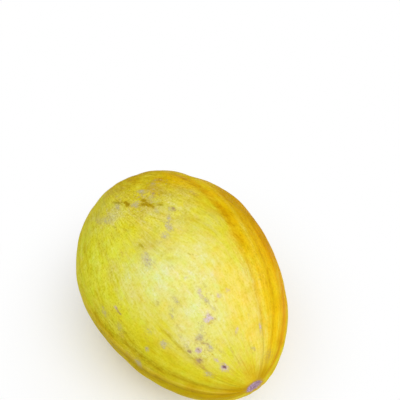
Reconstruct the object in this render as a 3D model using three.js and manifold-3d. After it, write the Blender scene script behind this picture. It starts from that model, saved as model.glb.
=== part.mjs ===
// A canary melon lying on its side: one ribbed, egg-shaped fruit and the dry stub of its cut stem.
// Millimetres, +Z up. The origin is the centre of the small flat spot that the fruit lies on.
// +X points to the blossom end, and the stem end is at -X.

import * as THREE from 'three';
import { mergeVertices } from 'three/addons/utils/BufferGeometryUtils.js';
import Module from 'manifold-3d';

const wasm = await Module();
wasm.setup();

// Driving dimensions of the fruit.
const HALF_LENGTH = 99.4;
const GIRTH_RADIUS = 73.5;
const TAPER = [-0.117, 0.015, -0.009]; // first to third order: slimmer toward the blossom end
const FLAT_SPOT_DEPTH = 1.2; // how far the rind is flattened where it lies
const END_CALM_RADIUS = 12; // grooves and lumps fade out inside this radius at both ends

// The corky scar where the blossom fell off.
const SCAR_RADIUS = 6.2;
const SCAR_SINK = 0.7;
const SCAR_RIM_HEIGHT = 0.5;
const SCAR_RIM_WIDTH = 1.6;

// The hollow that the stem stands in.
const HOLLOW_RADIUS = 8.5;
const HOLLOW_DEPTH = 3.4;

// The stub of the cut stem.
const STUB_RADIUS = 3.9;
const STUB_FLARE = 1.2; // how much wider it is where it meets the fruit
const STUB_LENGTH = 7.5;
const STUB_FLUTES = 5;
const STUB_FLUTE_DEPTH = 0.45;
const STUB_CUT_SLOPE = 0.16; // the cut runs a little across the stem
const SEAT_GAP = 0.3; // clearance between the stub and the fruit

// Mesh fineness.
const SECTORS = 72;
const RINGS = 40;
const POLE_CROWDING = 0.38; // 0 spaces the rings evenly; more crowds them at the two ends
const STUB_SECTORS = 30;
const STUB_RINGS = 6;

// Grooves between the ribs. Around is in degrees about the long axis: 0 is the top, 90 faces -Y.
// Each row: around, width in degrees, depth at the middle, at the blossom end and at the stem end.
const GROOVES = [
  [-70, 7, 0.5, 0.9, 0.6],
  [-47, 6, 0.7, 1.0, 0.6],
  [-28, 5, 0.6, 0.8, 0.5],
  [-6, 7, 0.1, 0.4, 0.5],
  [22, 7, 0.1, 0.5, 0.5],
  [47, 5, 0.2, 0.7, 0.5],
  [77, 6, 0.6, 0.9, 0.5],
  [95, 6, 0.5, 0.8, 0.6],
  [116, 7, 0.4, 0.8, 0.7],
  [139, 8, 0.3, 0.6, 0.6],
  [164, 8, 0.3, 0.7, 0.6],
  [189, 7, 0.4, 0.8, 0.5],
  [213, 8, 0.5, 0.7, 0.7],
  [238, 7, 0.4, 0.9, 0.6],
  [262, 7, 0.6, 0.9, 0.6],
];

// Broad swellings and flats that keep the fruit from being a turned shape.
// Each row: height, around in degrees, along from the middle, spread in degrees, spread along.
const LUMPS = [
  [-2.6, -46, -62, 17, 20],
  [-1.0, 108, 15, 20, 28],
  [0.8, 94, -40, 20, 18],
  [-1.0, -100, 84, 25, 16],
  [0.8, 28, -84, 22, 14],
  [0.7, -140, -25, 35, 40],
  [-0.9, 150, 45, 30, 35],
  [0.8, 160, -55, 30, 25],
];

const RIND = new THREE.MeshStandardMaterial({ color: 0xdcc64a, roughness: 0.48, metalness: 0 });
const DRY_WOOD = new THREE.MeshStandardMaterial({ color: 0x8d8873, roughness: 0.9, metalness: 0 });

// A smooth bump that is 1 at zero and dies away over the spread.
function bump(distance, spread) {
  return Math.exp(-((distance / spread) ** 2));
}

// The shorter way round from one direction to another, in degrees.
function turnBetween(from, to) {
  return THREE.MathUtils.euclideanModulo(to - from + 180, 360) - 180;
}

// Height of the rind's broad swellings at one place.
function swelling(around, along) {
  let height = 0;
  for (const [lift, lumpAround, lumpAlong, spreadAround, spreadAlong] of LUMPS) {
    height += lift * bump(turnBetween(lumpAround, around), spreadAround) * bump(along - lumpAlong, spreadAlong);
  }
  return height;
}

// Depth of the grooves between the ribs at one place; endShare is 0 at the girth and 1 at a tip.
function grooving(around, endShare, atBlossomEnd) {
  let depth = 0;
  for (const [grooveAround, width, middle, blossom, stem] of GROOVES) {
    const end = atBlossomEnd ? blossom : stem;
    depth += (middle + (end - middle) * endShare) * bump(turnBetween(grooveAround, around), width);
  }
  return depth;
}

// How far the blossom scar and the stem hollow move the skin along X at this distance from the axis.
function endRelief(radius, atBlossomEnd) {
  if (!atBlossomEnd) {
    return HOLLOW_DEPTH * Math.exp(-((radius / HOLLOW_RADIUS) ** 4));
  }
  const sink = SCAR_SINK * Math.exp(-((radius / SCAR_RADIUS) ** 8));
  const rim = SCAR_RIM_HEIGHT * bump(radius - SCAR_RADIUS - SCAR_RIM_WIDTH / 2, SCAR_RIM_WIDTH);
  return rim - sink;
}

// A point of the skin about the fruit's own middle. Polar is 0 at the blossom end and PI at the stem end.
function skinPoint(polar, around) {
  const share = Math.cos(polar);
  const along = HALF_LENGTH * share;
  const taper = 1 + TAPER[0] * share + TAPER[1] * share ** 2 + TAPER[2] * share ** 3;
  const plain = GIRTH_RADIUS * Math.sin(polar) * taper;
  const calm = 1 - bump(plain, END_CALM_RADIUS);
  const relief = swelling(around, along) - grooving(around, share ** 2, share > 0);
  const radius = plain + calm * relief;
  const angle = THREE.MathUtils.degToRad(around);
  return new THREE.Vector3(
    along + endRelief(radius, share > 0),
    -radius * Math.sin(angle),
    radius * Math.cos(angle),
  );
}

// The underside's lowest point, which becomes the centre of the flat spot.
function lowestPoint() {
  let lowest = new THREE.Vector3();
  for (let degree = 60; degree <= 120; degree += 0.25) {
    const point = skinPoint(THREE.MathUtils.degToRad(degree), 180);
    if (point.z < lowest.z) {
      lowest = point;
    }
  }
  return lowest;
}

// A three.js geometry as a manifold solid, with its shared corners merged.
function toSolid(geometry) {
  const bare = geometry.clone();
  bare.deleteAttribute('normal');
  bare.deleteAttribute('uv');
  const merged = mergeVertices(bare, 1e-4);
  const vertProperties = new Float32Array(merged.attributes.position.array);
  const triVerts = new Uint32Array(merged.index.array);
  return new wasm.Manifold(new wasm.Mesh({ numProp: 3, vertProperties, triVerts }));
}

function toGeometry(solid) {
  const mesh = solid.getMesh();
  const geometry = new THREE.BufferGeometry();
  geometry.setAttribute('position', new THREE.BufferAttribute(mesh.vertProperties, 3));
  geometry.setIndex(new THREE.BufferAttribute(mesh.triVerts, 1));
  geometry.computeVertexNormals();
  return geometry;
}

// A unit ball whose poles lie on the fruit's long axis, pushed out to the skin.
function skinGeometry() {
  const ball = new THREE.SphereGeometry(1, SECTORS, RINGS);
  const place = ball.attributes.position;
  for (let i = 0; i < place.count; i += 1) {
    const even = Math.acos(THREE.MathUtils.clamp(place.getY(i), -1, 1));
    const polar = even - (POLE_CROWDING / 2) * Math.sin(2 * even);
    const around = THREE.MathUtils.radToDeg(Math.atan2(-place.getZ(i), place.getX(i)));
    const point = skinPoint(polar, around);
    place.setXYZ(i, point.x, point.y, point.z);
  }
  return ball;
}

// The whole fruit, with the flat spot cut level at z = 0.
function makeFruit(middle) {
  const body = skinGeometry();
  body.translate(middle.x, middle.y, middle.z);
  const room = 3 * HALF_LENGTH;
  const above = new THREE.BoxGeometry(room, room, room);
  above.translate(middle.x, middle.y, room / 2);
  const fruit = new THREE.Mesh(toGeometry(toSolid(body).intersect(toSolid(above))), RIND);
  fruit.name = 'fruit';
  return fruit;
}

// The stub: a fluted, flared peg whose foot follows the floor of the stem hollow.
function makeStub(middle) {
  const peg = new THREE.CylinderGeometry(1, 1, 1, STUB_SECTORS, STUB_RINGS);
  const place = peg.attributes.position;
  for (let i = 0; i < place.count; i += 1) {
    const rise = place.getY(i) + 0.5;
    const angle = Math.atan2(place.getZ(i), place.getX(i));
    const flute = STUB_FLUTE_DEPTH * Math.cos(STUB_FLUTES * angle);
    const wall = STUB_RADIUS + STUB_FLARE * (1 - rise) ** 2 + flute;
    const radius = Math.hypot(place.getX(i), place.getZ(i)) * wall;
    const y = radius * Math.cos(angle);
    const z = radius * Math.sin(angle);
    const foot = SEAT_GAP - endRelief(radius, false);
    const cut = STUB_LENGTH - HOLLOW_DEPTH + STUB_CUT_SLOPE * z;
    place.setXYZ(i, -HALF_LENGTH - foot - (cut - foot) * rise, y, z);
  }
  const stub = new THREE.Mesh(toGeometry(toSolid(peg)), DRY_WOOD);
  stub.name = 'stem_stub';
  stub.position.copy(middle);
  return stub;
}

const lowest = lowestPoint();
const middle = new THREE.Vector3(-lowest.x, 0, -lowest.z - FLAT_SPOT_DEPTH);

const melon = new THREE.Group();
melon.add(makeFruit(middle), makeStub(middle));

export default melon;
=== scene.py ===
"""Looks of a canary melon: waxy streaked rind with rub marks, corky blossom scar, stem hollow and dry stub.

The fruit's own frame is used for its shape. Along runs from the stem end (-) to the blossom end (+), and
around is in degrees about that axis, 0 at the top and 90 facing -Y. Shape numbers are in millimetres and
are turned to metres when a mesh is made. Lamps, floor and camera are in metres.
"""

import math

import bpy
import numpy as np
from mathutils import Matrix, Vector


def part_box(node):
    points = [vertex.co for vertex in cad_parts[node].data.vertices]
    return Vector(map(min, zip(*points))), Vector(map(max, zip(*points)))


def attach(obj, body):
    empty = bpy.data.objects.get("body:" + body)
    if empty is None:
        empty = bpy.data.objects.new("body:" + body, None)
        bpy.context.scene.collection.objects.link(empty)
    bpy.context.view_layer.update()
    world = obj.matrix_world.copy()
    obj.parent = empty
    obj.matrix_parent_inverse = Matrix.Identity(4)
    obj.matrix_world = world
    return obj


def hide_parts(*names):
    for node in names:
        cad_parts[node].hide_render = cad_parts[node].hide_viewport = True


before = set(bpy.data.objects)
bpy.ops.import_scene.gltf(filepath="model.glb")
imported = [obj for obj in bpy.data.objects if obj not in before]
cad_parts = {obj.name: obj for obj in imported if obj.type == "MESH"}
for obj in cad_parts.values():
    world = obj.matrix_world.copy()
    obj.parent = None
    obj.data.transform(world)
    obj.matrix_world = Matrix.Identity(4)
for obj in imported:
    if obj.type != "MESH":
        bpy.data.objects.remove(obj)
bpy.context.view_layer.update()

MM = 0.001

# The fruit's body, as in the CAD part.
HALF_LENGTH = 99.4
GIRTH_RADIUS = 73.5
TAPER = (-0.117, 0.015, -0.009)
END_CALM_RADIUS = 12
SCAR_RADIUS = 6.2
SCAR_SINK = 0.7
SCAR_RIM_HEIGHT = 0.5
SCAR_RIM_WIDTH = 1.6
HOLLOW_RADIUS = 8.5
HOLLOW_DEPTH = 3.4

# Grooves between the ribs: around, width in degrees, depth at the middle, the blossom end and the stem end.
GROOVES = (
    (-70, 7, 0.5, 0.9, 0.6),
    (-47, 6, 0.7, 1.0, 0.6),
    (-28, 5, 0.6, 0.8, 0.5),
    (-6, 7, 0.1, 0.4, 0.5),
    (22, 7, 0.1, 0.5, 0.5),
    (47, 5, 0.2, 0.7, 0.5),
    (77, 6, 0.6, 0.9, 0.5),
    (95, 6, 0.5, 0.8, 0.6),
    (116, 7, 0.4, 0.8, 0.7),
    (139, 8, 0.3, 0.6, 0.6),
    (164, 8, 0.3, 0.7, 0.6),
    (189, 7, 0.4, 0.8, 0.5),
    (213, 8, 0.5, 0.7, 0.7),
    (238, 7, 0.4, 0.9, 0.6),
    (262, 7, 0.6, 0.9, 0.6),
)

# Broad swellings: height, around, along, spread in degrees, spread along.
LUMPS = (
    (-2.6, -46, -62, 17, 20),
    (-1.0, 108, 15, 20, 28),
    (0.8, 94, -40, 20, 18),
    (-1.0, -100, 84, 25, 16),
    (0.8, 28, -84, 22, 14),
    (0.7, -140, -25, 35, 40),
    (-0.9, 150, 45, 30, 35),
    (0.8, 160, -55, 30, 25),
)

# Fine relief that only the rind has.
DIMPLE_SIZE = 21
DIMPLE_HEIGHT = 0.16
DIMPLE_SEED = 3
PUCKER_SIZE = 8
PUCKER_HEIGHT = 0.035
PUCKER_SEED = 5
FIBRE_SIZE = 9
FIBRE_HEIGHT = 0.05
FIBRE_SEED = 7
FIBRE_STRETCH = 9
STREAK_HEIGHTS = (("bright", 0.12), ("amber", -0.16), ("olive", -0.16))

# The fibres fan out from this direction. The fan starts and ends gently, between the stations that follow.
FAN_AROUND = 30
FAN_SPREAD = 25  # degrees to either side over which the lean grows
FAN_REACH = (66, 44)  # degrees over which it dies away, before and past the middle
FAN_LEAN = (0.42, 0.31)  # degrees round for each mm onward, before and past the middle
FAN_ROOT = (-92, -60)
FAN_END = (5, 45)
FAN_STEPS = 20

# Streaks that follow the grooves of the far side, between these directions, each swaying a little. They
# darken with the groove's depth, partly as painted shade in the grooves.
FAR_SIDE = (100, 285)
FAR_STATIONS = (-80, -50, -20, 10, 40, 70, 92)
FAR_SWAY = 1.5  # degrees to either side
FAR_SWAY_LENGTH = 21  # the length over which a sway goes on by one radian
FAR_SWAY_SHIFT = 2.4  # radians from one groove to the next
FAR_WIDTH = 0.5  # half width, as a share of the groove's width
FAR_STRENGTH = 0.2  # on top of the groove's depth at its middle

# Pleats that run out from both ends, and coarser ones from the stem end alone. They are full at the first
# distance from the axis and die away over the second. Each sway, its size in radians and how often it comes
# round, spaces them unevenly.
END_PLEATS = 31
END_PLEAT_SWAYS = ((1.3, 3), (0.9, 7))
END_PLEAT_HEIGHT = 0.10
END_PLEAT_REACH = (13, 13)
STEM_PLEATS = 19
STEM_PLEAT_SWAYS = ((1.2, 2), (0.9, 5))
STEM_PLEAT_HEIGHT = 0.32
STEM_PLEAT_REACH = (12, 30)

# Mesh fineness.
SECTORS = 400
RINGS = 238
POLE_CROWDING = 0.3

# Broad tones of the rind, each laid over those before it: kind, how far its edge sways, colour.
TONE_COLOURS = (
    ("stem", 1.0, (214, 182, 0)),
    ("green", 1.0, (231, 229, 51)),
    # pale and milky: partly the rind's own paler skin, partly painted sheen over the top, where the light
    # glances off
    ("pale", 1.0, (234, 228, 128)),
    ("milky_and_sheen", 1.0, (229, 237, 146)),
    ("warm", 1.0, (244, 221, 92)),
    ("gold", 0.8, (236, 194, 2)),
    # dull: partly a duller rind, partly painted shade over the top of the stem half, where less light falls
    ("dull", 1.0, (215, 204, 92)),
    ("far", 0.6, (238, 212, 40)),
    ("honey", 0.6, (248, 206, 20)),
    ("orange", 0.5, (242, 172, 0)),
    # mustard: partly the rind's own deeper colour, partly painted shade on the flank that turns away from the
    # key lamp
    ("mustard", 0.5, (206, 180, 0)),
    ("ground", 0.6, (238, 218, 124)),
    ("tip", 1.0, (226, 190, 16)),
    # ochre: partly the rind's own darker ochre, partly painted shade by the blossom scar and along the gold
    # side's edge
    ("ochre", 0.6, (204, 162, 0)),
)

# Where the tones lie: kind, around, along, spread in degrees, spread along, strength.
TONES = (
    ("stem", -30, -92, 70, 46, 1.0),
    ("stem", 60, -98, 60, 32, 0.65),
    ("stem", 180, -96, 90, 34, 0.7),
    ("stem", -17, -58, 14, 30, 1.0),
    ("stem", 2, -42, 20, 20, 0.55),
    ("green", 50, -16, 27, 54, 1.0),
    ("green", 74, -20, 12, 46, 0.8),
    ("green", 54, -50, 20, 20, 1.0),
    ("green", 30, 14, 14, 24, 0.6),
    # The pale and milky patches over the top are partly paler skin, partly painted sheen.
    ("pale", 14, 40, 32, 48, 1.0),
    ("pale", 36, 64, 18, 26, 0.8),
    ("pale", 45, 20, 12, 36, 0.6),
    ("pale", -14, 74, 16, 22, 0.7),
    ("pale", 3, -14, 20, 22, 0.45),
    ("pale", 28, -46, 12, 12, 0.6),
    ("milky_and_sheen", 28, 17, 12, 22, 0.65),
    ("milky_and_sheen", 34, 0, 14, 16, 0.4),
    ("milky_and_sheen", 20, 50, 12, 18, 0.4),
    ("warm", -20, 66, 22, 44, 1.0),
    ("gold", -42, 0, 17, 100, 1.0),
    ("gold", -24, -48, 16, 26, 0.9),
    # The dull patches are partly duller rind, partly painted shade.
    ("dull", 2, -28, 22, 20, 0.6),
    ("dull", 13, -6, 24, 18, 0.55),
    ("dull", 34, -58, 26, 26, 0.45),
    ("dull", 38, -30, 14, 16, 0.35),
    ("dull", 30, -9, 10, 16, 0.45),
    ("dull", -14, 2, 12, 14, 0.6),
    ("dull", -12, -34, 14, 14, 0.5),
    ("honey", -46, 60, 17, 44, 1.0),
    ("honey", -66, 66, 14, 40, 1.0),
    ("honey", -84, -8, 26, 84, 1.0),
    ("honey", -116, 10, 36, 96, 1.0),
    ("orange", -58, 4, 13, 52, 1.0),
    ("orange", -65, 66, 12, 46, 0.85),
    # The mustard flank is partly the rind's own colour, partly painted shade.
    ("mustard", 94, 34, 17, 82, 0.9),
    ("mustard", 112, 20, 14, 70, 0.5),
    ("mustard", 106, 80, 20, 34, 1.0),
    ("mustard", 96, -45, 18, 40, 0.4),
    ("far", 150, 0, 34, 90, 1.0),
    ("far", -150, 0, 44, 100, 1.0),
    ("ground", 178, 8, 34, 46, 1.0),
    ("tip", 10, 106, 70, 14, 0.85),
    ("tip", 190, 106, 90, 14, 0.9),
    # The ochre by the blossom scar and down the gold side is partly darker rind, partly painted shade.
    ("ochre", 84, 102, 44, 16, 1.0),
    ("ochre", -55, -12, 19, 46, 0.6),
    ("ochre", -42, 99, 22, 9, 0.5),
    ("ochre", -45, 98.5, 34, 4.5, 0.9),
    ("ochre", 90, 86, 28, 18, 0.5),
    ("ochre", -62, 94, 16, 16, 0.5),
)

# Streaks, mostly in the grooves: kind, half width in degrees, strength, and route as places along and around.
STREAKS = (
    ("amber", 3.6, 1.0, ((-52, -27), (-20, -28.5), (0, -31), (18, -29))),
    ("amber", 2.6, 0.55, ((10, -29.5), (26, -28.5), (50, -28), (72, -26.5))),
    ("amber", 1.0, 0.5, ((-24, -31.5), (0, -33.5), (14, -31.5))),
    ("amber", 3.6, 0.6, ((-25, -42), (5, -43), (26, -45))),
    ("amber", 2.8, 0.7, ((34, -45), (64, -46), (80, -42.5), (94, -39.5))),
    ("amber", 2.2, 0.9, ((56, -66), (76, -63), (95, -62))),
    ("amber", 4.0, 0.5, ((-60, -74), (0, -76), (40, -76))),
    ("bright", 2.0, 0.8, ((-54, -35), (-20, -37.5), (0, -38))),
    ("bright", 3.4, 0.7, ((4, -38), (30, -36), (66, -35), (92, -32))),
    ("bright", 4.0, 0.6, ((50, -39), (66, -38.5), (84, -36))),
    ("bright", 3.0, 0.4, ((50, -56), (76, -54), (94, -50))),
    ("bright", 2.6, 0.7, ((-20, 86), (50, 87), (92, 85))),
    ("olive", 3.4, 0.25, ((-44, 82), (-10, 80), (12, 79))),
    ("olive", 4.2, 0.9, ((28, 78.5), (50, 78), (96, 75))),
    ("olive", 5.0, 0.9, ((-6, 95), (40, 96), (60, 95), (96, 93))),
    ("olive", 1.5, 1.0, ((52, 47), (62, 48.5), (76, 50), (94, 57))),
    ("olive", 1.2, 0.3, ((86, 7.5), (95, 7))),
    ("olive", 1.2, 0.35, ((82, 12.0), (95, 11.3))),
    ("olive", 1.2, 0.25, ((84, 16), (95, 15))),
    ("olive", 1.3, 0.8, ((78, -26), (97, -26.5))),
    ("olive", 1.4, 0.3, ((86, 31), (95, 33))),
)
STREAK_KINDS = ("bright", "amber", "olive")
STREAK_FADE = 9  # over this length a streak dies away at its ends

# Weathered skin, with specks and rubs too small to place one by one: around, along, their spreads, strength.
WEATHERED = (
    (8, -40, 20, 18, 1.0),
    (-6, -52, 14, 12, 0.9),
    (16, -58, 22, 10, 0.6),
    (33, -48, 12, 14, 0.9),
    (23, -32, 12, 16, 0.5),
    (-16, -38, 10, 14, 0.6),
    (4, -14, 10, 12, 0.8),
    (24, 2, 8, 10, 0.6),
    (10, 46, 8, 16, 0.7),
    (20, 60, 14, 7, 0.7),
    (34, 72, 16, 12, 0.9),
    (62, 14, 9, 10, 0.8),
    (84, 36, 12, 16, 0.6),
    (-22, -30, 7, 8, 0.7),
    (150, -20, 30, 30, 0.6),
    (-140, 40, 30, 30, 0.5),
)

# Where the fine pattern of the skin is strongest, in rows of the same kind.
BUSY = (
    (4, -48, 44, 40, 1.4),
    (60, -30, 34, 56, 0.95),
    (86, 24, 22, 44, 1.5),
    (-40, 20, 24, 70, 0.8),
    (180, 0, 80, 120, 0.5),
)

# Marks on the rind: kind, around, along, half width, half length, lean in degrees, strength.
MARKS = (
    # The chain of cracks at the stem end and the rubbed skin about it.
    ("crack", 8.9, -39.2, 1.7, 2.8, -10, 1.3),
    ("crack", 8.7, -36.2, 1.4, 2.6, 12, 1.2),
    ("crack", 8.3, -33.8, 1.8, 2.8, -30, 1.3),
    ("crack", 10.6, -36.0, 1.5, 3.2, -52, 1.5),
    ("crack", 6.9, -30.9, 1.2, 2.4, -26, 0.9),
    ("crack", 7.3, -28.8, 0.7, 1.8, -8, 0.8),
    ("dot", 3.3, -29.0, 0.9, 3.2, -46, 0.9),
    ("smudge", 14.6, -40.6, 2.4, 4.4, -48, 1.0),
    ("tan", 13.0, -40.5, 0.8, 2.6, 6, 0.7),
    ("crack", 18.2, -45.4, 1.7, 1.8, 0, 1.3),
    ("crack", 18.4, -48.6, 1.2, 2.4, -24, 1.2),
    ("crack", 20.3, -51.8, 0.9, 3.0, -32, 0.7),
    ("tan", 17.2, -45.0, 3.6, 3.6, 0, 0.6),
    ("dot", 23.6, -55.0, 1.2, 4.2, -30, 1.2),
    ("crack", 25.4, -58.5, 1.0, 2.0, -30, 0.5),
    ("smudge", 24.2, -50.8, 1.8, 4.2, 4, 1.0),
    ("smudge", 5.9, -49.4, 2.0, 4.6, -38, 0.95),
    ("smudge", -3.2, -53, 1.9, 6.2, 44, 0.5),
    ("tan", -1, -49, 2.0, 6.0, 26, 0.8),
    ("scab", 1.9, -41.6, 1.2, 1.6, 20, 0.9),
    ("smudge", 3.6, -40, 1.8, 4.2, 40, 0.6),
    ("dot", -1.0, -44.3, 1.4, 1.6, 0, 0.5),
    ("tan", -6.0, -43, 3.0, 6.0, 10, 0.5),
    ("smudge", 36, -49, 3.4, 6.6, -50, 0.5),
    ("smudge", 34.4, -45.6, 2.4, 4.4, -30, 0.65),
    ("smudge", 30.6, -43, 1.9, 5.0, -44, 0.6),
    ("smudge", 39.8, -53, 2.8, 6.0, -22, 0.5),
    ("smudge", 28.4, -43.6, 2.6, 4.0, -20, 0.5),
    ("smudge", 6.6, -25, 1.5, 3.8, 4, 0.7),
    ("smudge", 20.5, -62, 2.6, 2.6, 0, 0.4),
    ("tan", -20.8, -28, 2.8, 3.6, 10, 1.0),
    ("smudge", -19.6, -30.6, 2.2, 2.4, 0, 0.6),
    ("smudge", -12.5, -26.5, 3.0, 2.4, 0, 0.4),
    ("dot", 31.6, -34.4, 0.9, 1.9, -20, 0.8),
    ("dot", 27.2, -25.8, 0.9, 3.8, -26, 0.7),
    ("dot", 26.2, -23.6, 1.1, 1.3, 0, 0.6),
    # The broken trail over the top.
    ("scab", -2.2, -19.4, 1.5, 2.8, 6, 0.9),
    ("smudge", -0.4, -19.6, 2.0, 3.0, 10, 0.8),
    ("smudge", 3.2, -14.6, 1.6, 4.8, 30, 0.9),
    ("smudge", 6.3, -6.9, 2.5, 3.9, 6, 1.3),
    ("scab", 6.2, -6.2, 0.9, 1.2, 0, 0.5),
    ("smudge", 10.6, -3.0, 2.9, 3.2, 40, 0.85),
    ("smudge", 15.5, -0.6, 3.0, 1.8, 0, 0.5),
    ("dot", 24.8, -6.9, 0.9, 3.0, -22, 0.9),
    ("smudge", 25.4, 1.4, 1.5, 2.2, 0, 0.9),
    ("dot", 25.2, 1.6, 1.0, 1.2, 0, 0.5),
    ("smudge", 26.9, 5.0, 2.8, 5.6, 8, 1.2),
    ("smudge", 24.2, 9.0, 2.4, 3.2, 0, 0.5),
    ("tan", 36.2, -13, 1.2, 4.6, 16, 0.8),
    ("tan", -4.2, -6, 4.6, 8.0, -14, 0.55),
    ("smudge", 17.6, 19, 2.8, 3.6, 20, 0.4),
    ("dot", 7.2, -12, 0.9, 2.0, 0, 0.4),
    ("dot", 5.6, 18.6, 0.5, 1.0, 30, 0.8),
    ("dot", 3.9, 20.4, 0.5, 0.5, 0, 0.7),
    # The greener side.
    ("bloom", 60.6, 10.8, 1.5, 2.4, 10, 0.6),
    ("scab", 60.9, 13.6, 1.6, 2.4, 6, 0.6),
    ("scab", 61.2, 17.0, 0.9, 0.9, 0, 0.9),
    ("tan", 57.0, 11.6, 1.6, 2.4, 0, 0.8),
    ("smudge", 71.5, 2.6, 4.4, 5.0, 0, 0.6),
    ("smudge", 71.2, 2.2, 1.4, 2.4, -30, 0.6),
    ("smudge", 69.6, 20.4, 4.2, 3.4, 0, 0.6),
    ("tan", 74.0, 23.6, 3.4, 2.4, 0, 0.9),
    ("dot", 69.6, 25.6, 0.9, 1.7, 0, 0.9),
    ("dot", 65.0, 20.0, 0.6, 4.6, 12, 0.6),
    ("tan", 86.6, 31.6, 3.2, 3.2, 0, 1.0),
    ("smudge", 88.4, 41.8, 5.6, 2.8, 0, 1.1),
    ("tan", 88.0, 37.6, 4.6, 3.0, 0, 0.7),
    ("smudge", 55.3, 40.6, 2.6, 3.4, 0, 0.6),
    ("tan", 61.5, 43, 2.6, 2.6, 0, 0.5),
    ("smudge", 67.8, 45.8, 2.8, 1.6, 0, 0.9),
    ("smudge", 55.4, 53.4, 3.0, 2.4, 0, 1.2),
    ("smudge", 52.4, 56.6, 2.2, 2.2, 0, 0.5),
    ("dot", 37.4, 32.6, 0.9, 1.5, 24, 0.8),
    ("smudge", 37.5, 33, 2.0, 2.4, 30, 0.5),
    ("smudge", 33, 42, 2.2, 2.6, 0, 0.6),
    ("smudge", 35.2, 46, 2.2, 2.8, 20, 0.6),
    ("smudge", 27.2, 40, 1.8, 4.4, 6, 0.7),
    ("smudge", 34, 24, 1.4, 1.8, 0, 0.4),
    ("dot", -16, 48.6, 0.5, 0.7, 0, 0.6),
    ("dot", -33.8, 50.4, 0.6, 1.6, 84, 0.9),
    ("smudge", -34.5, 47, 2.0, 1.6, 0, 0.4),
    ("dot", -12, 11, 0.7, 0.7, 0, 0.7),
    # Pale scars towards the blossom end.
    ("bloom", 14.6, 31.6, 1.6, 0.9, 0, 0.7),
    ("bloom", 12.4, 44.6, 1.8, 4.6, 4, 0.6),
    ("smudge", 11.4, 51.2, 1.5, 2.8, -6, 1.1),
    ("scab", 11.4, 51.8, 0.7, 0.8, 0, 0.5),
    ("smudge", 9.8, 57.4, 1.2, 2.6, -10, 0.7),
    ("smudge", 7, 42.6, 1.6, 3.4, 0, 0.35),
    ("bloom", 2.4, 52.2, 1.9, 1.9, 0, 0.7),
    ("tan", 5.6, 54.2, 0.8, 2.4, 52, 0.7),
    ("bloom", -5.2, 52, 2.0, 1.6, 0, 0.5),
    ("bloom", 16.0, 60.4, 2.3, 1.2, 60, 1.3),
    ("bloom", 17.8, 61.2, 2.1, 1.2, -20, 1.3),
    ("bloom", 15.0, 61.6, 1.6, 1.0, 30, 1.0),
    ("bloom", 19.8, 60.0, 1.6, 0.6, -30, 1.0),
    ("bloom", 15.2, 58.2, 0.6, 1.9, 14, 0.9),
    ("scab", 14.4, 59.7, 1.2, 0.9, 0, 0.7),
    ("scab", 18.4, 59.6, 0.9, 0.6, 0, 0.5),
    ("tan", 13.2, 62.9, 0.5, 2.4, -58, 1.0),
    ("tan", 12.6, 63.4, 0.5, 1.4, -10, 0.8),
    ("tan", 17.6, 63.8, 3.0, 1.5, 0, 0.9),
    ("smudge", 25.4, 63, 1.5, 5.2, 62, 0.6),
    ("smudge", 31.4, 66.4, 3.4, 2.0, -10, 1.2),
    ("scab", 31.2, 67.2, 2.2, 0.7, -80, 0.6),
    ("scab", 34.2, 66.2, 0.9, 0.9, 0, 0.7),
    ("scab", 31.6, 70.8, 0.7, 2.2, -52, 0.8),
    ("smudge", 30.6, 74.4, 2.4, 2.2, 0, 1.0),
    ("scab", 29.6, 72.6, 0.8, 1.0, 0, 0.5),
    ("bloom", 39.8, 71.2, 2.3, 1.6, 0, 1.2),
    ("scab", 39.2, 71.2, 0.9, 1.2, 0, 0.9),
    ("scab", 40.8, 71.9, 1.2, 0.6, -70, 0.5),
    ("scab", 45.8, 68.2, 1.7, 1.3, 20, 1.2),
    ("smudge", 44.2, 64.2, 1.6, 2.6, 10, 0.7),
    ("smudge", 41.6, 58.2, 2.0, 1.9, 0, 0.5),
    ("smudge", 37.5, 53, 1.8, 3.8, 0, 0.4),
    ("tan", 47.0, 75.2, 4.0, 2.7, 0, 1.0),
    ("scab", 46.2, 75.6, 2.1, 1.7, 0, 1.1),
    ("bloom", 47.6, 75.2, 1.1, 0.9, 0, 0.8),
    ("tan", 46.0, 72.0, 1.1, 2.2, -20, 0.8),
    ("tan", 50.4, 79.4, 1.3, 2.8, 10, 0.9),
    ("smudge", 54.6, 83.6, 2.4, 2.4, 0, 1.0),
    ("bloom", 34.8, 82.2, 1.8, 2.4, 0, 0.6),
    ("smudge", 25, 80, 1.7, 2.0, 0, 0.4),
    ("bloom", 1.4, 75.0, 1.0, 2.4, 52, 0.55),
    ("tan", 3.8, 76.8, 1.0, 1.4, 40, 0.6),
    ("bloom", -23.2, 78.2, 1.2, 2.8, 0, 0.75),
    ("tan", -22.4, 79.4, 0.9, 2.8, 0, 0.9),
    ("smudge", -14, 70.5, 1.2, 2.2, 10, 0.4),
    ("smudge", -9.6, 86.9, 1.0, 2.2, -58, 0.6),
    ("tan", -8.6, 86.9, 1.8, 2.2, 0, 0.7),
    ("scab", 15.8, 83.4, 0.6, 1.6, 12, 0.5),
    ("tan", 15.4, 82.8, 1.0, 2.6, 12, 1.0),
    ("tan", 16.0, 89.2, 0.8, 1.8, 10, 0.7),
    ("tan", -40, 91.5, 4.6, 3.0, 0, 0.9),
    ("bloom", 35.6, 86.9, 2.5, 2.1, 0, 1.0),
    ("scab", 33.8, 85.6, 1.1, 0.9, 0, 0.5),
    ("pit", 34.8, 86.9, 1.1, 1.0, 0, 1.1),
)

# How far each kind of mark stands up from the rind, or sinks.
MARK_HEIGHTS = (("bloom", 0.05), ("scab", 0.08), ("crack", -0.22), ("dot", -0.08), ("pit", -0.3))
MARK_KINDS = ("tan", "smudge", "bloom", "crack", "scab", "dot", "pit")
MARK_SOFTNESS = 1.1  # how far a mark reaches before it has mostly died away, in its own half sizes

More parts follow.
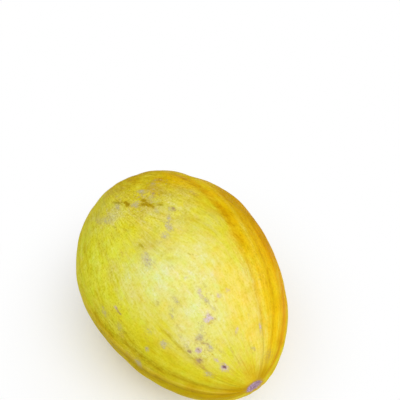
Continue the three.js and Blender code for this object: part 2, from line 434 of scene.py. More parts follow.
# Marks like them on the sides that face away, strewn by chance, each value between its two limits.
STREWN_MARKS = 46
STREWN_SEED = 21
STREWN_KINDS = (("smudge", 0.45), ("bloom", 0.25), ("dot", 0.2), ("scab", 0.1))
STREWN_AROUND = (108, 282)
STREWN_ALONG = (-0.85, 0.9)  # shares of the half length
STREWN_DOT_WIDTH = (0.5, 0.9)
STREWN_WIDTH = (1.0, 2.6)
STREWN_STRETCH = (0.8, 1.8)
STREWN_LEAN = (-40, 40)
STREWN_STRENGTH = (0.4, 1.0)

# The stub of the cut stem.
STUB_RADIUS = 3.9
STUB_FLARE = 1.2
STUB_LENGTH = 7.5
STUB_FLUTES = 5
STUB_FLUTE_DEPTH = 0.45
STUB_CUT_SLOPE = 0.22
STUB_RECESS = (-0.7, -0.9, 1.5, 2.0)  # its middle across and up, its radius and its depth
# Splinters left standing at the edge of the cut: direction, width in degrees and height.
STUB_SPLINTERS = ((28, 13, 1.1), (118, 20, 0.6), (205, 12, 1.4), (248, 9, 1.1), (318, 16, 0.7))
SPLINTER_START = (0.55, 0.95)  # they rise between these shares of the cut's radius
# Relief of the stub: height, size and seed of its long ridges, of its knobs and of its broken face.
STUB_RIDGES = (0.15, 0.9, 11)
STUB_KNOBS = (0.08, 1.6, 12)
STUB_BREAK = (0.24, 1.3, 13)
STUB_DRUM = (2.2, 3)  # length and radius of the drum on which the ridges and knobs are drawn
STUB_RIDGE_SQUEEZE = (0.3, 1, 1)  # shortens the drum for the ridges, which draws them out
STUB_FIBRE_SQUEEZE = 0.15  # shortens the colour pattern, which draws its fibres out
SEAT_GAP = 0.3  # between the stub and the fruit
STUB_SECTORS = 96
STUB_FOOT_RINGS = 4
STUB_RINGS = 30
STUB_CAP_RINGS = 16

# Camera and studio, in metres and degrees.
CAMERA_AZIMUTH = 59.5
CAMERA_ELEVATION = 51.9
CAMERA_DISTANCE = 0.767
CAMERA_LENS = 90
SENSOR_WIDTH = 36
AIM_RIGHT = 0.0115  # the camera aims this far right of the fruit's middle, and this far above it
AIM_UP = 0.0659
FLOOR_SIZE = 30
FLOOR_DROP = 0.0003  # keeps the floor clear of the flat spot that rests on it
FLOOR_FADE = (0.02, 0.17)  # distances from the resting spot between which the floor goes over to plain white
SKY_LIGHT = 0.46
# Lamps: name, direction from the fruit, distance, size, power in watts.
LAMPS = (
    ("key", (0.50, 0.05, 0.86), 1.4, 1.0, 10.5),
    ("sheen", (-0.25, -0.35, 0.90), 1.2, 0.5, 2.0),
)


def bump(distance, spread):
    """A smooth bump that is 1 at zero and dies away over the spread."""
    return np.exp(-((distance / spread) ** 2))


def turn_between(start, end):
    """The shorter way round from one direction to another, in degrees."""
    return (end - start + 180) % 360 - 180


def swelling(around, along):
    """Height of the broad swellings."""
    height = np.zeros_like(around)
    for lift, lump_around, lump_along, spread_around, spread_along in LUMPS:
        here = bump(turn_between(lump_around, around), spread_around)
        height += lift * here * bump(along - lump_along, spread_along)
    return height


def grooving(around, share):
    """Depth of the grooves between the ribs. Share is 1 at the blossom tip and -1 at the stem tip."""
    depth = np.zeros_like(around)
    for groove_around, width, middle, blossom, stem in GROOVES:
        end = np.where(share > 0, blossom, stem)
        here = bump(turn_between(groove_around, around), width)
        depth += (middle + (end - middle) * share**2) * here
    return depth


def end_relief(radius, at_blossom_end):
    """How far the scar or the hollow moves the skin along the axis at this distance from it."""
    hollow = HOLLOW_DEPTH * np.exp(-((radius / HOLLOW_RADIUS) ** 4))
    sink = SCAR_SINK * np.exp(-((radius / SCAR_RADIUS) ** 8))
    rim = SCAR_RIM_HEIGHT * bump(radius - SCAR_RADIUS - SCAR_RIM_WIDTH / 2, SCAR_RIM_WIDTH)
    return np.where(at_blossom_end, rim - sink, hollow)


def ripple(places, size, seed, waves=36):
    """A smooth random field about 1 high, with features of this size, at an array of places."""
    draw = np.random.default_rng(seed)
    directions = draw.normal(size=(waves, 3))
    directions /= np.linalg.norm(directions, axis=1)[:, None]
    pace = 2 * math.pi / (size * draw.uniform(0.7, 1.4, waves))
    phase = draw.uniform(0, 2 * math.pi, waves)
    field = np.zeros(len(places))
    for direction, speed, start in zip(directions, pace, phase):
        field += np.sin(places @ direction * speed + start)
    return field * math.sqrt(2 / waves)


def strewn_marks():
    """Small marks scattered over the far side and the underside."""
    draw = np.random.default_rng(STREWN_SEED)
    kinds = [kind for kind, share in STREWN_KINDS]
    shares = [share for kind, share in STREWN_KINDS]
    rows = []
    for kind in draw.choice(kinds, STREWN_MARKS, p=shares):
        around = draw.uniform(*STREWN_AROUND)
        along = HALF_LENGTH * draw.uniform(*STREWN_ALONG)
        half_width = draw.uniform(*(STREWN_DOT_WIDTH if kind == "dot" else STREWN_WIDTH))
        half_length = half_width * draw.uniform(*STREWN_STRETCH)
        lean = draw.uniform(*STREWN_LEAN)
        strength = draw.uniform(*STREWN_STRENGTH)
        rows.append((kind, around, along, half_width, half_length, lean, strength))
    return rows


def mark_field(rows, kind, around, along, radius):
    """How strong the marks of one kind are at each place: full in a mark's middle, dying away past it."""
    field = np.zeros_like(around)
    for mark_kind, mark_around, mark_along, half_width, half_length, lean, strength in rows:
        if mark_kind != kind:
            continue
        across = np.radians(turn_between(mark_around, around)) * radius
        onward = along - mark_along
        c, s = math.cos(math.radians(lean)), math.sin(math.radians(lean))
        distance = np.hypot((across * c - onward * s) / half_width, (across * s + onward * c) / half_length)
        field = np.maximum(field, strength * bump(distance, MARK_SOFTNESS))
    return field


def patch_field(rows, around, along):
    """Soft patches, each given by around, along, its spreads and its strength."""
    field = np.zeros_like(around)
    for patch_around, patch_along, spread_around, spread_along, strength in rows:
        here = bump(turn_between(patch_around, around), spread_around)
        field = np.maximum(field, strength * here * bump(along - patch_along, spread_along))
    return field


def far_streaks():
    """Olive streaks along the grooves of the far side, each swaying a little, stronger in deeper grooves as
    partly painted shade.
    """
    rows = []
    for index, (groove_around, width, depth, *_) in enumerate(GROOVES):
        if FAR_SIDE[0] < groove_around % 360 < FAR_SIDE[1]:
            route = []
            for station in FAR_STATIONS:
                sway = FAR_SWAY * math.sin(station / FAR_SWAY_LENGTH + FAR_SWAY_SHIFT * index)
                route.append((station, groove_around + sway))
            # stronger where the groove is deeper: partly painted shade in the groove
            rows.append(("olive", FAR_WIDTH * width, FAR_STRENGTH + depth, tuple(route)))
    return rows


def streak_field(kind, around, along):
    """Strength of the streaks of one kind."""
    field = np.zeros_like(around)
    for streak_kind, half_width, strength, route in STREAKS + tuple(far_streaks()):
        if streak_kind == kind:
            stations, turns = zip(*route)
            here = bump(turn_between(np.interp(along, stations, turns), around), half_width)
            beyond = np.maximum(stations[0] - along, along - stations[-1]).clip(0)
            field = np.maximum(field, strength * here * bump(beyond, STREAK_FADE))
    return field


def fade(value, low, high):
    """Goes smoothly from 0 at low to 1 at high."""
    share = np.clip((value - low) / (high - low), 0, 1)
    return share * share * (3 - 2 * share)


def fibre_turn(around, along):
    """How far round each place's fibre runs once it is past the fan, in degrees."""
    turn = turn_between(0, around)
    station = along.copy()
    step = (FAN_END[1] - along).clip(0) / FAN_STEPS
    for _ in range(FAN_STEPS):
        off = turn_between(FAN_AROUND, turn)
        lean = np.where(off < 0, FAN_LEAN[0], FAN_LEAN[1]) * np.clip(off / FAN_SPREAD, -1, 1)
        lean *= np.exp(-((off / np.where(off < 0, FAN_REACH[0], FAN_REACH[1])) ** 4))
        turn = turn + step * lean * fade(station, *FAN_ROOT) * (1 - fade(station, *FAN_END))
        station = station + step
    return turn


def skin_layout():
    """Polar angle and around of every vertex: rings from blossom end to stem end, and a point at each tip."""
    even = np.pi * np.arange(1, RINGS) / RINGS
    rows = even - POLE_CROWDING / 2 * np.sin(2 * even)
    turns = 360 * np.arange(SECTORS) / SECTORS
    polar = np.concatenate([[0], np.repeat(rows, SECTORS), [np.pi]])
    around = np.concatenate([[0], np.tile(turns, RINGS - 1), [0]])
    return polar, around


def about_axis(along, radius, around):
    """Places this far along the fruit, at this distance from its long axis and this far round it."""
    angle = np.radians(around)
    return np.stack([along, -radius * np.sin(angle), radius * np.cos(angle)], 1)


def pleating(around, count, sways):
    """A wave round the axis, between -1 and 1, with this many crests that the sways space unevenly."""
    angle = np.radians(around)
    return np.cos(count * angle + sum(size * np.sin(times * angle) for size, times in sways))


def skin_fields(around, along, radius, calm):
    """The strength of every kind of mark, streak and tone at each place, by name."""
    rows = MARKS + tuple(strewn_marks())
    fields = {kind: mark_field(rows, kind, around, along, radius) for kind in MARK_KINDS}
    for kind in STREAK_KINDS:
        fields[kind] = streak_field(kind, around, along) * calm
    for kind, *_ in TONE_COLOURS:
        fields[kind] = patch_field([row[1:] for row in TONES if row[0] == kind], around, along)
    fields["weathered"] = patch_field(WEATHERED, around, along)
    fields["busy"] = patch_field(BUSY, around, along)
    return fields


def skin_surface(polar, around):
    """Places of the skin about the fruit's own middle, its fibres, and what its patterns are made from."""
    share = np.cos(polar)
    at_blossom_end = share > 0
    along = HALF_LENGTH * share
    taper = 1 + TAPER[0] * share + TAPER[1] * share**2 + TAPER[2] * share**3
    plain = GIRTH_RADIUS * np.sin(polar) * taper
    calm = 1 - bump(plain, END_CALM_RADIUS)
    radius = plain + calm * (swelling(around, along) - grooving(around, share))
    smooth = about_axis(along, radius, around)
    fibre = about_axis(along, GIRTH_RADIUS, fibre_turn(around, along))
    fields = skin_fields(around, along, plain, calm)

    fine = DIMPLE_HEIGHT * ripple(smooth, DIMPLE_SIZE, DIMPLE_SEED)
    fine += PUCKER_HEIGHT * ripple(smooth, PUCKER_SIZE, PUCKER_SEED)
    fine += FIBRE_HEIGHT * ripple(fibre / (FIBRE_STRETCH, 1, 1), FIBRE_SIZE, FIBRE_SEED)
    end_pleat = pleating(around, END_PLEATS, END_PLEAT_SWAYS)
    fine += END_PLEAT_HEIGHT * end_pleat * bump(plain - END_PLEAT_REACH[0], END_PLEAT_REACH[1])
    stem_pleat = pleating(around, STEM_PLEATS, STEM_PLEAT_SWAYS)
    by_stem = np.where(share < 0, bump(plain - STEM_PLEAT_REACH[0], STEM_PLEAT_REACH[1]), 0)
    fine += STEM_PLEAT_HEIGHT * stem_pleat * by_stem
    for kind, height in MARK_HEIGHTS + STREAK_HEIGHTS:
        fine += height * np.minimum(fields[kind], 1)
    radius = radius + calm * fine

    # ray: darker in the troughs of the stem pleats, partly the rind's amber rays, partly painted shade in the
    # creases
    fields["ray"] = (0.5 - 0.5 * stem_pleat) ** 2 * by_stem
    fields["from_scar"] = np.where(at_blossom_end, radius, GIRTH_RADIUS)
    fields["from_stem"] = np.where(at_blossom_end, GIRTH_RADIUS, radius)
    places = about_axis(along + end_relief(radius, at_blossom_end), radius, around)
    return places, fibre, fields


def fit_to_frame(places, node):
    """Places scaled and moved to the CAD node's box, in metres, and flattened where the node rests."""
    low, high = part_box(node)
    scale = (high.x - low.x) / np.ptp(places[:, 0])
    shift = np.array([low.x - places[:, 0].min() * scale, 0, high.z - places[:, 2].max() * scale])
    placed = places * scale + shift
    placed[:, 2] = np.maximum(placed[:, 2], low.z)
    return placed, scale, shift


def ring_faces(rings, sectors):
    """Quads between neighbouring rings of vertices, and the triangles that close both tips."""
    ring = np.arange(rings - 1)[:, None] * sectors + 1
    here = np.arange(sectors)[None, :]
    after = (here + 1) % sectors
    a = ring + here
    b = a + sectors
    c = ring + sectors + after
    d = ring + after
    quads = np.stack([a, b, c, d], -1).reshape(-1, 4)
    last = rings * sectors + 1
    first_cap = [(0, 1 + i, 1 + (i + 1) % sectors) for i in range(sectors)]
    row = last - sectors
    last_cap = [(last, row + (i + 1) % sectors, row + i) for i in range(sectors)]
    return quads.tolist() + first_cap + last_cap


def make_piece(name, places, faces, material):
    """A smooth-shaded mesh object, with its vertices where they lie in the shared frame."""
    mesh = bpy.data.meshes.new(name)
    mesh.from_pydata(places.tolist(), [], faces)
    mesh.validate()
    mesh.shade_smooth()
    mesh.materials.append(material)
    piece = bpy.data.objects.new(name, mesh)
    bpy.context.scene.collection.objects.link(piece)
    return piece


def store(piece, name, values):
    """Keeps a number or a vector for each vertex, which the piece's material reads."""
    wide = values.ndim == 2
    kept = piece.data.attributes.new(name, "FLOAT_VECTOR" if wide else "FLOAT", "POINT")
    kept.data.foreach_set("vector" if wide else "value", values.astype(np.float32).ravel())


def paint(red, green, blue):
    """A colour given as 0 to 255 as it looks on a screen, as Blender's linear colour."""
    shares = [value / 255 for value in (red, green, blue)]
    linear = [share / 12.92 if share < 0.0405 else ((share + 0.055) / 1.055) ** 2.4 for share in shares]
    return (*linear, 1)


class Shader:
    """A material's node tree, built by short calls that return output sockets."""

    def __init__(self, name):
        self.material = bpy.data.materials.new(name)
        self.material.use_nodes = True
        self.tree = self.material.node_tree
        self.surface = self.tree.nodes["Principled BSDF"]

    def add(self, kind, inputs, **settings):
        """Adds a node with these settings and inputs, and returns the node itself."""
        node = self.tree.nodes.new(kind)
        for key, value in settings.items():
            setattr(node, key, value)
        for key, value in inputs.items():
            self.feed(node.inputs[key], value)
        return node

    def feed(self, socket, value):
        """Links another node's output to an input, or sets the input's own value."""
        if isinstance(value, bpy.types.NodeSocket):
            self.tree.links.new(value, socket)
        else:
            socket.default_value = value

    def kept(self, name):
        """A number stored on the vertices."""
        return self.add("ShaderNodeAttribute", {}, attribute_name=name).outputs["Fac"]

    def kept_vector(self, name):
        """A vector stored on the vertices."""
        return self.add("ShaderNodeAttribute", {}, attribute_name=name).outputs["Vector"]

    def place(self):
        """Where the point lies, in metres."""
        return self.add("ShaderNodeTexCoord", {}).outputs["Object"]

    def stretched(self, place, times):
        """The same place, for patterns drawn out this many times along the fruit."""
        return self.add("ShaderNodeMapping", {"Vector": place, "Scale": (1 / times, 1, 1)}).outputs[0]

    def noise(self, place, size, detail=3, roughness=0.55, twist=0):
        """Soft noise about 0.5, with features of this size in millimetres."""
        inputs = {
            "Vector": place,
            "Scale": 1 / (size * MM),
            "Detail": detail,
            "Roughness": roughness,
            "Distortion": twist,
        }
        return self.add("ShaderNodeTexNoise", inputs).outputs["Fac"]

    def crazing(self, place, size):
        """How far it is to the nearest crack between cells of this size in millimetres."""
        inputs = {"Vector": place, "Scale": 1 / (size * MM)}
        return self.add("ShaderNodeTexVoronoi", inputs, feature="DISTANCE_TO_EDGE").outputs["Distance"]

    def maths(self, operation, first, second):
        """One sum on two numbers."""
        node = self.add("ShaderNodeMath", {}, operation=operation)
        self.feed(node.inputs[0], first)
        self.feed(node.inputs[1], second)
        return node.outputs[0]

    def step(self, value, low, high, to_low=0.0, to_high=1.0):
        """Goes smoothly from to_low to to_high while value goes from low to high."""
        inputs = {"Value": value, "From Min": low, "From Max": high, "To Min": to_low, "To Max": to_high}
        node = self.add("ShaderNodeMapRange", inputs, interpolation_type="SMOOTHSTEP")
        return node.outputs["Result"]

    def blend(self, amount, first, second, mode="MIX"):
        """Colour mix: first where amount is 0, second where it is 1."""
        node = self.add("ShaderNodeMix", {}, data_type="RGBA", blend_type=mode)
        self.feed(node.inputs["Factor"], amount)
        self.feed(node.inputs[6], first)
        self.feed(node.inputs[7], second)
        return node.outputs[2]

    def bump(self, height, distance, strength, under=None):
        """Small relief, distance in millimetres, on top of the relief under it."""
        inputs = {"Height": height, "Distance": distance * MM, "Strength": strength}
        if under is not None:
            inputs["Normal"] = under
        return self.add("ShaderNodeBump", inputs).outputs["Normal"]


def rind_material():
    """Waxy yellow rind: tones and streaks with some painted sheen and shade, mottling, weathering, marks, the
    blossom scar, and the stem hollow with painted shade on its floor.
    """
    s = Shader("rind")
    place = s.place()
    fibre = s.kept_vector("fibre")
    thread = s.noise(s.stretched(fibre, 3), 1.8, 3, 0.65, 0.7)
    streak = s.noise(s.stretched(fibre, 9), 5, 3, 0.55)
    cloud = s.noise(place, 15, 3, 0.55, 0.5)
    mottle = s.noise(s.stretched(fibre, 1.9), 3.6, 3, 0.6, 0.4)
    grain = s.noise(place, 1.5, 3, 0.65)

    colour = rind_tones(s, streak, cloud)
    colour = rind_streaks(s, colour, mottle, thread)
    colour = rind_mottling(s, colour, thread, streak, cloud, mottle, grain)
    colour = rind_hues(s, colour, place)
    colour = rind_weathering(s, colour, place)
    colour = rind_marks(s, colour, place, mottle, grain)
    colour, cork = rind_scar(s, colour, place, grain)
    colour = rind_hollow_and_shade(s, colour, cloud, grain)

    s.feed(s.surface.inputs["Base Color"], colour)
    s.feed(s.surface.inputs["Roughness"], rind_roughness(s, mottle, cork))
    s.surface.inputs["Specular IOR Level"].default_value = 0.015
    s.feed(s.surface.inputs["Normal"], rind_relief(s, thread, mottle, grain, cork, place))
    return s.material


def rind_tones(s, streak, cloud):
    """Clear yellow, paler over the top, partly as painted sheen, gold and orange down one side, and mustard
    down the other, partly as painted shade.
    """
    wander = s.maths("ADD", s.step(streak, 0.3, 0.7, -0.12, 0.12), s.step(cloud, 0.3, 0.7, -0.16, 0.16))
    colour = paint(228, 216, 40)
    for kind, sway, tone in TONE_COLOURS:
        kept = s.kept(kind)
        swayed = s.maths("ADD", kept, s.maths("MULTIPLY", wander, s.step(kept, 0, 0.3, 0, sway)))
        colour = s.blend(s.step(swayed, 0.05, 0.95), colour, paint(*tone))
    return colour


def rind_streaks(s, colour, mottle, thread):
    """Long broken streaks: bright between the grooves, amber on the gold side, olive elsewhere, stem rays.
    The far olive streaks and the stem rays are partly painted shade in the creases.
    """
    broken = s.maths("ADD", s.step(mottle, 0.25, 0.75, 0.2, 0.65), s.step(thread, 0.3, 0.7, 0.1, 0.6))
    for kind, tone, most in (
        ("bright", paint(246, 216, 60), 0.6),
        ("amber", paint(216, 160, 0), 0.65),
        ("olive", paint(178, 148, 0), 0.55),
        # stem rays: partly painted shade in the troughs of the pleats
        ("ray", paint(190, 146, 0), 0.6),
    ):
        amount = s.maths("MULTIPLY", s.step(s.kept(kind), 0.05, 1.0, 0, most), broken)
        colour = s.blend(amount, colour, tone)
    return colour


def rind_mottling(s, colour, thread, streak, cloud, mottle, grain):
    """Patterns that deepen the rind's yellow where they are high and pale it where they are low.

    Long threads are fainter where the rind is pale, which is partly painted sheen, or weathered, and grain is
    stronger where it is weathered.
    Rows: pattern, its low and high, how far it deepens and pales, how strong it is, its two colours.
    """
    broad = (0.90, 0.83, 0.34, 1), (1.04, 1.07, 2.0, 1)
    fine = (0.82, 0.78, 0.38, 1), (1.09, 1.10, 1.8, 1)
    busy = s.step(s.kept("busy"), 0.1, 1.4, 0.8, 2.0)
    worn = s.kept("weathered")
    drawn = s.maths("MULTIPLY", s.step(s.kept("pale"), 0.1, 0.8, 1.0, 0.45), busy)
    drawn = s.maths("MULTIPLY", drawn, s.step(worn, 0.1, 0.7, 1.0, 0.45))
    grainy = s.maths("MULTIPLY", busy, s.step(worn, 0.1, 0.7, 1.0, 1.35))
    for pattern, low, high, depth, paleness, share, (deeper, paler) in (
        (streak, 0.28, 0.74, 0.6, 0.6, drawn, broad),
        (cloud, 0.25, 0.75, 0.75, 0.7, 1.0, broad),
        (mottle, 0.24, 0.78, 0.85, 0.7, busy, broad),
        (thread, 0.28, 0.74, 0.7, 0.55, drawn, fine),
        (grain, 0.28, 0.74, 0.75, 0.6, grainy, fine),
    ):
        darker = s.maths("MULTIPLY", s.step(pattern, 0.5, high, 0, depth), share)
        lighter = s.maths("MULTIPLY", s.step(pattern, 0.5, low, 0, paleness), share)
        colour = s.blend(darker, colour, deeper, "MULTIPLY")
        colour = s.blend(lighter, colour, paler, "MULTIPLY")
    return colour


def rind_hues(s, colour, place):
    """Small drifts of hue, between warmer and greener and between clearer and milkier, at one lightness."""
    for size, first, second in (
        (9, (1.030, 0.970, 1, 1), (0.970, 1.030, 1, 1)),
        (10, (1, 1, 0.68, 1), (1, 1, 1.36, 1)),
    ):
        drift = s.noise(place, size, 2.4, 0.55)
        colour = s.blend(s.step(drift, 0.5, 0.72), colour, first, "MULTIPLY")
        colour = s.blend(s.step(drift, 0.5, 0.28), colour, second, "MULTIPLY")
    return colour


def rind_weathering(s, colour, place):
    """Ochre freckles and grey-lilac rubs where the skin is weathered, with a few of both everywhere."""
    weathered = s.kept("weathered")
    ochre = s.noise(place, 2.0, 4, 0.7, 0.3)
    lilac = s.noise(place, 2.6, 4, 0.75, 0.6)
    for pattern, tone, rare, common, most in (
        (lilac, paint(208, 192, 142), 0.70, 0.50, 0.7),
        (ochre, paint(182, 148, 24), 0.72, 0.50, 0.65),
    ):
        start = s.step(weathered, 0, 1, rare, common)
        over = s.maths("SUBTRACT", pattern, start)
        colour = s.blend(s.step(over, 0, 0.16, 0, most), colour, tone)
    return colour


def rind_marks(s, colour, place, mottle, grain):
    """Tan and grey-lilac rubs, pink-lilac scars, brown scabs, ochre cracks, dark dots and a pit.

    Rows: kind, what breaks it up, where it starts and is full, colours of its core and its edge, how strong
    it gets, and how strong its dark specks are.
    """
    fleck = s.noise(place, 1.1, 3, 0.7)
    torn = s.maths("ADD", s.step(grain, 0.3, 0.7, 0.2, 1.0), s.step(fleck, 0.3, 0.7, 0.1, 0.7))
    torn = s.maths("MULTIPLY", torn, s.step(mottle, 0.3, 0.7, 0.55, 1.35))
    soft = s.maths("ADD", s.step(grain, 0.3, 0.7, 0.3, 0.9), s.step(mottle, 0.3, 0.7, 0.15, 0.75))
    inner = s.step(fleck, 0.36, 0.62)
    speck = s.step(s.noise(place, 1.6, 2, 0.6), 0.54, 0.66)
    for kind, broken, low, high, core, edge, most, specks in (
        ("tan", torn, 0.0, 1.2, paint(204, 172, 84), paint(210, 182, 60), 0.75, 0.2),
        ("smudge", torn, 0.0, 1.1, paint(204, 196, 166), paint(188, 172, 110), 0.85, 0.35),
        ("bloom", torn, 0.05, 0.95, paint(226, 206, 216), paint(206, 182, 166), 0.95, 0.5),
        ("crack", soft, 0.0, 1.05, paint(162, 132, 4), paint(188, 158, 10), 0.95, 0.0),
        ("scab", soft, 0.0, 1.1, paint(156, 126, 100), paint(190, 160, 104), 0.85, 0.5),
        ("dot", soft, 0.0, 1.1, paint(158, 138, 30), paint(180, 160, 40), 0.75, 0.0),
        ("pit", soft, 0.05, 0.9, paint(96, 58, 78), paint(140, 104, 108), 1.0, 0.0),
    ):
        near = s.maths("MULTIPLY", s.kept(kind), broken)
        tone = s.blend(s.maths("MULTIPLY", s.step(near, 0.2, 0.9), inner), edge, core)
        colour = s.blend(s.step(near, low, high, 0, most), colour, tone)
        if specks:
            amount = s.maths("MULTIPLY", s.step(near, 0.3, 1.1, 0, specks), speck)
            colour = s.blend(amount, colour, paint(136, 106, 92))
    return colour


def rind_scar(s, colour, place, grain):
    """The lilac, crazed cork of the blossom scar inside its ochre rim. Also returns where the cork is."""
    ragged = s.step(s.noise(place, 2.2, 4, 0.65), 0.2, 0.8, -1.4, 1.4)
    radius = s.maths("ADD", s.kept("from_scar"), ragged)
    cork = s.step(radius, SCAR_RADIUS + 0.6, SCAR_RADIUS - 1.2)
    patchy = s.step(s.noise(place, 5, 2), 0.35, 0.65)
    rim = s.blend(patchy, paint(190, 146, 60), paint(204, 170, 84))
    colour = s.blend(s.step(radius, SCAR_RADIUS + 3.6, SCAR_RADIUS + 0.3, 0, 0.75), colour, rim)
    crazed = s.step(s.crazing(place, 1.1), 0.0, 0.12)
    flesh = s.blend(s.step(grain, 0.35, 0.68), paint(168, 134, 152), paint(212, 188, 214))
    flesh = s.blend(crazed, paint(152, 116, 130), flesh)
    return s.blend(cork, colour, flesh), cork


def rind_hollow_and_shade(s, colour, cloud, grain):
    """Greyed green close round the stem, and painted shade, near black, on the floor of the hollow round the
    stub's foot.
    """
    uneven = s.maths("ADD", s.step(cloud, 0.3, 0.7, -1.8, 1.8), s.step(grain, 0.3, 0.7, -0.4, 0.4))
    radius = s.maths("ADD", s.kept("from_stem"), uneven)
    colour = s.blend(s.step(radius, 12, 7, 0, 0.6), colour, paint(156, 150, 74))
    # painted shade on the floor of the hollow, round the foot of the stub
    return s.blend(s.step(radius, 8.2, 4.8, 0, 0.95), colour, paint(70, 66, 56))


def rind_roughness(s, mottle, cork):
    """Waxy skin, and dull cork."""
    waxy = s.step(mottle, 0.25, 0.75, 0.50, 0.62)
    return s.maths("MAXIMUM", waxy, s.maths("MULTIPLY", cork, 0.9))


def rind_relief(s, thread, mottle, grain, cork, place):
    """Fine threads, mottling and grain, and the cracks of the cork."""
    normal = s.bump(thread, 0.08, 0.6)
    normal = s.bump(mottle, 0.12, 0.5, normal)
    normal = s.bump(grain, 0.05, 0.5, normal)
    cracked = s.maths("MULTIPLY", s.crazing(place, 1.3), cork)
    return s.bump(cracked, 0.5, 1.0, normal)


def stub_material():
    """Dry blue-grey stem: long fibres, darker between them, paler where it broke, and dark in the recess,
    partly its own pith, partly painted shade.
    """
    s = Shader("dry_stem")
    place = s.place()
    fibre = s.kept_vector("fibre")
    strand = s.noise(fibre, 0.8, 4, 0.65)
    seam = s.noise(fibre, 1.7, 2, 0.5)
    stain = s.noise(place, 2.6, 3, 0.6)
    colour = s.blend(s.step(strand, 0.32, 0.66), paint(120, 122, 132), paint(216, 218, 224))
    colour = s.blend(s.step(seam, 0.5, 0.64, 0, 0.8), colour, paint(78, 78, 92))
    colour = s.blend(s.step(stain, 0.5, 0.8, 0, 0.4), colour, paint(140, 136, 118))
    torn = s.step(s.noise(place, 1.1, 3, 0.6, 0.8), 0.35, 0.65)
    face = s.blend(torn, paint(168, 174, 192), paint(236, 238, 242))
    colour = s.blend(s.kept("cut"), colour, face)
    # dark pith in the recess of the cut, partly painted shade
    colour = s.blend(s.step(s.kept("pith_and_shade"), 0.25, 0.85), colour, paint(56, 58, 84))
    s.feed(s.surface.inputs["Base Color"], colour)
    s.surface.inputs["Roughness"].default_value = 0.86
    s.surface.inputs["Specular IOR Level"].default_value = 0.3
    s.feed(s.surface.inputs["Normal"], s.bump(strand, 0.3, 0.9))
    return s.material


def make_fruit():
    """The visible fruit, which stands for the CAD node of the same shape."""
    polar, around = skin_layout()
    places, fibre, fields = skin_surface(polar, around)
    placed, scale, shift = fit_to_frame(places, "fruit")
    piece = make_piece("melon_rind", placed, ring_faces(RINGS - 1, SECTORS), rind_material())
    store(piece, "fibre", fibre * MM)
    for name, values in fields.items():
        store(piece, name, values)
    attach(piece, "root")
    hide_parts("fruit")
    return scale, shift


def stub_layout():
    """Rise, share of the full radius, and angle of every vertex, and the number of rings.

    The rings run out over the foot, up the wall and in over the cut, with a point in the middle of each end.
    """
    rings = [(0.0, share) for share in np.linspace(0, 1, STUB_FOOT_RINGS + 1)[1:]]
    rings += [(rise, 1.0) for rise in np.linspace(0, 1, STUB_RINGS)[1:]]
    rings += [(1.0, share) for share in np.linspace(1, 0, STUB_CAP_RINGS + 1)[1:-1]]
    rises, shares = np.array(rings).T
    turns = 2 * np.pi * np.arange(STUB_SECTORS) / STUB_SECTORS
    rise = np.concatenate([[0], np.repeat(rises, STUB_SECTORS), [1]])
    share = np.concatenate([[0], np.repeat(shares, STUB_SECTORS), [0]])
    angle = np.concatenate([[0], np.tile(turns, len(rings)), [0]])
    return rise, share, angle, len(rings)


def broken_face(share, angle, y, z, from_recess):
    """How far the broken cut stands above its own slope: roughness, the recess and the splinters."""
    height, size, seed = STUB_BREAK
    broken = height * ripple(np.stack([y, z, 0 * z], 1), size, seed)
    broken -= STUB_RECESS[3] * bump(from_recess, STUB_RECESS[2])
    for direction, width, lift in STUB_SPLINTERS:
        near = bump(turn_between(direction, np.degrees(angle)), width)
        broken += lift * near * fade(share, *SPLINTER_START)
    return broken


def stub_surface():
    """Places of the stub in the fruit's own frame, its fibres, what its patterns come from, and its rings."""
    rise, share, angle, rings = stub_layout()
    drum = np.stack([rise * STUB_DRUM[0], np.cos(angle) * STUB_DRUM[1], np.sin(angle) * STUB_DRUM[1]], 1)
    ridges = STUB_RIDGES[0] * ripple(drum * STUB_RIDGE_SQUEEZE, *STUB_RIDGES[1:])
    knobs = STUB_KNOBS[0] * ripple(drum, *STUB_KNOBS[1:])
    flute = STUB_FLUTE_DEPTH * np.cos(STUB_FLUTES * angle)
    radius = share * (STUB_RADIUS + STUB_FLARE * (1 - rise) ** 2 + flute + ridges + knobs)
    y = radius * np.cos(angle)
    z = radius * np.sin(angle)
    from_recess = np.hypot(y - STUB_RECESS[0], z - STUB_RECESS[1])
    foot = SEAT_GAP - end_relief(radius, np.zeros(len(radius), bool))
    cut = STUB_LENGTH - HOLLOW_DEPTH + STUB_CUT_SLOPE * z
    height = foot + (cut - foot) * rise + broken_face(share, angle, y, z, from_recess) * rise**6
    places = np.stack([-HALF_LENGTH - height, y, z], 1)

    top = rise >= 1
    on_cut = top * np.clip((1.02 - share) * 6, 0, 1)  # eases off at the rim
    # the recess's dark floor: partly pith, partly painted shade
    pith_and_shade = top * bump(from_recess, 0.8 * STUB_RECESS[2])
    onward = rise * STUB_LENGTH * STUB_FIBRE_SQUEEZE
    fibre = np.stack([onward, STUB_RADIUS * np.cos(angle), STUB_RADIUS * np.sin(angle)], 1)
    fibre[top] = np.stack([0 * y, y, z], 1)[top]
    return places, fibre, {"cut": on_cut, "pith_and_shade": pith_and_shade}, rings


def make_stub(scale, shift):
    """The visible stem stub, in the place of its CAD node."""
    places, fibre, fields, rings = stub_surface()
    faces = ring_faces(rings, STUB_SECTORS)
    piece = make_piece("dry_stem_stub", places * scale + shift, faces, stub_material())
    piece.data.flip_normals()
    store(piece, "fibre", fibre * MM)
    for name, values in fields.items():
        store(piece, name, values)
    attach(piece, "root")
    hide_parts("stem_stub")


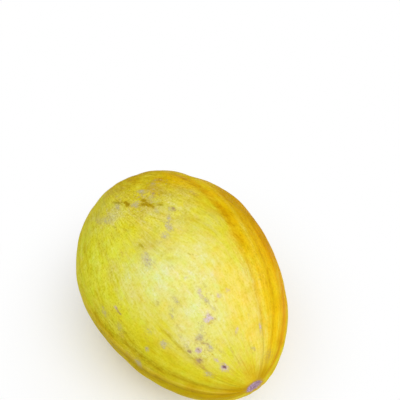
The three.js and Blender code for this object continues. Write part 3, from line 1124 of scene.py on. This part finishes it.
def make_floor():
    """A plain pale floor that keeps the fruit's soft shadow."""
    half = FLOOR_SIZE / 2
    corners = [(x, y, -FLOOR_DROP) for x, y in ((-half, -half), (half, -half), (half, half), (-half, half))]
    s = Shader("pale_floor")
    s.surface.inputs["Base Color"].default_value = paint(250, 250, 248)
    s.surface.inputs["Roughness"].default_value = 0.9
    s.surface.inputs["Specular IOR Level"].default_value = 0.1
    path = s.add("ShaderNodeLightPath", {})
    seen = s.maths("MAXIMUM", path.outputs["Is Camera Ray"], path.outputs["Is Glossy Ray"])
    seen = s.maths("MAXIMUM", seen, path.outputs["Is Transmission Ray"])
    away = s.add("ShaderNodeVectorMath", {0: s.place()}, operation="LENGTH").outputs["Value"]
    share = s.step(away, *FLOOR_FADE)
    glow = s.add("ShaderNodeEmission", {"Color": (1, 1, 1, 1), "Strength": 1.0})
    either = s.add("ShaderNodeMixShader", {0: s.maths("MULTIPLY", seen, share)})
    s.feed(either.inputs[1], s.surface.outputs[0])
    s.feed(either.inputs[2], glow.outputs[0])
    s.feed(s.tree.nodes["Material Output"].inputs["Surface"], either.outputs[0])
    floor = make_piece("floor", np.array(corners), [(0, 1, 2, 3)], s.material)


def make_sky():
    """Even white light from all round, seen as white."""
    world = bpy.data.worlds.new("studio")
    world.use_nodes = True
    nodes, links = world.node_tree.nodes, world.node_tree.links
    light = nodes["Background"]
    light.inputs["Strength"].default_value = SKY_LIGHT
    white = nodes.new("ShaderNodeBackground")
    white.inputs["Strength"].default_value = 1.0
    for background in (light, white):
        background.inputs["Color"].default_value = (1, 1, 1, 1)
    path = nodes.new("ShaderNodeLightPath")
    seen = path.outputs["Is Camera Ray"]
    for ray in ("Is Glossy Ray", "Is Transmission Ray"):
        more = nodes.new("ShaderNodeMath")
        more.operation = "MAXIMUM"
        links.new(seen, more.inputs[0])
        links.new(path.outputs[ray], more.inputs[1])
        seen = more.outputs[0]
    either = nodes.new("ShaderNodeMixShader")
    links.new(seen, either.inputs[0])
    links.new(light.outputs[0], either.inputs[1])
    links.new(white.outputs[0], either.inputs[2])
    links.new(either.outputs[0], nodes["World Output"].inputs["Surface"])
    bpy.context.scene.world = world


def make_lamp(target, name, direction, distance, size, power):
    """A square soft lamp that faces the target."""
    light = bpy.data.lights.new(name, "AREA")
    light.size = size
    light.energy = power
    lamp = bpy.data.objects.new(name, light)
    bpy.context.scene.collection.objects.link(lamp)
    away = Vector(direction).normalized()
    lamp.location = Vector(target) + away * distance
    lamp.rotation_euler = away.to_track_quat("Z", "Y").to_euler()


def make_camera(middle):
    """Looks down on the fruit from beyond its blossom end."""
    a, e = math.radians(CAMERA_AZIMUTH), math.radians(CAMERA_ELEVATION)
    back = Vector((math.sin(a) * math.cos(e), -math.cos(a) * math.cos(e), math.sin(e)))
    right = Vector((math.cos(a), math.sin(a), 0))
    up = back.cross(right)
    data = bpy.data.cameras.new("camera")
    data.lens = CAMERA_LENS
    data.sensor_width = SENSOR_WIDTH
    camera = bpy.data.objects.new("camera", data)
    bpy.context.scene.collection.objects.link(camera)
    camera.location = Vector(middle) + right * AIM_RIGHT + up * AIM_UP + back * CAMERA_DISTANCE
    camera.rotation_euler = back.to_track_quat("Z", "Y").to_euler()
    bpy.context.scene.camera = camera


scale, middle = make_fruit()
make_stub(scale, middle)
make_floor()
make_sky()
for lamp in LAMPS:
    make_lamp(middle, *lamp)
make_camera(middle)
bpy.context.scene.view_settings.view_transform = "Standard"
